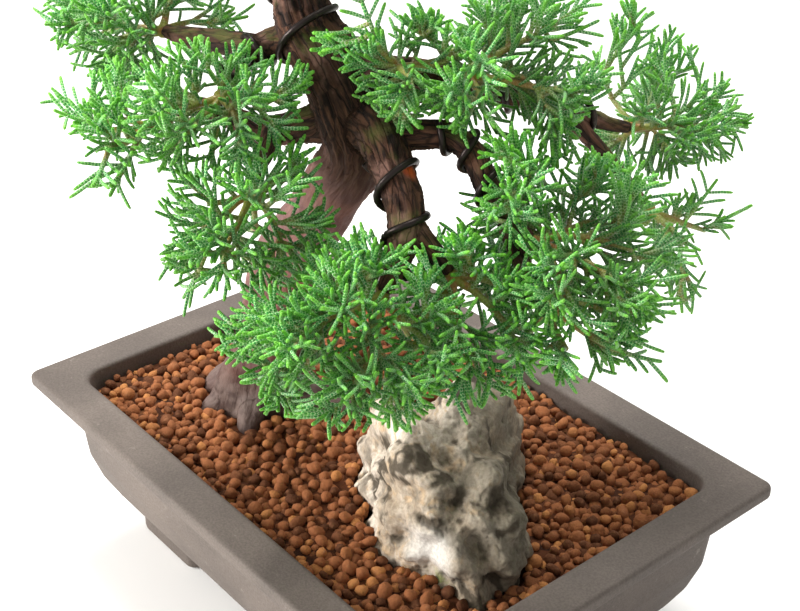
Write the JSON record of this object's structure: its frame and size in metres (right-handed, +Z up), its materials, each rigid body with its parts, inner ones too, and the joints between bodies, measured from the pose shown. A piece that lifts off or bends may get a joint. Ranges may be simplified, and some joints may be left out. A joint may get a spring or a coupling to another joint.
{
  "type": "chinese juniper bonsai",
  "caption": "Slanting juniper bonsai with pads of scale foliage on wired branches, in a rectangular unglazed clay pot with granular soil and a rough standing stone.",
  "frame": {"origin": "on the ground under the middle of the overall bounding box", "axes": "+Z up from the surface that the feet stand on; +X along the long side of the pot, toward the end where the stone stands and the lowest branch hangs; +Y across the pot, away from the front corner that the picture is taken from"},
  "size_m": [0.277, 0.2404, 0.3555],
  "materials": {
    "clay": "unglazed, fine matt grain",
    "screen": "matt",
    "soil": "baked clay granules, matt",
    "stone": "rough, craggy",
    "bark": "flaky bark, matt",
    "wire": "dark anodised, satin",
    "foliage": "scale leaves, satin"
  },
  "bodies": {
    "root": {"pot": "clay", "drain_mesh_left": "screen", "drain_mesh_right": "screen", "soil": "soil", "rock": "stone", "wood": "bark", "wire_trunk": "wire", "wire_front": "wire", "wire_right": "wire", "wire_left": "wire", "wire_back_right": "wire", "foliage_front": "foliage", "foliage_front_right": "foliage", "foliage_right": "foliage", "foliage_right_low": "foliage", "foliage_top_right": "foliage", "foliage_top_front": "foliage", "foliage_left": "foliage", "foliage_left_low": "foliage", "foliage_far_left": "foliage", "foliage_back_right": "foliage", "foliage_back_right_low": "foliage", "foliage_back_left": "foliage", "foliage_back": "foliage", "foliage_back_top": "foliage", "foliage_crown_left": "foliage", "foliage_crown_right": "foliage", "foliage_crown": "foliage"}
  },
  "joints": []
}
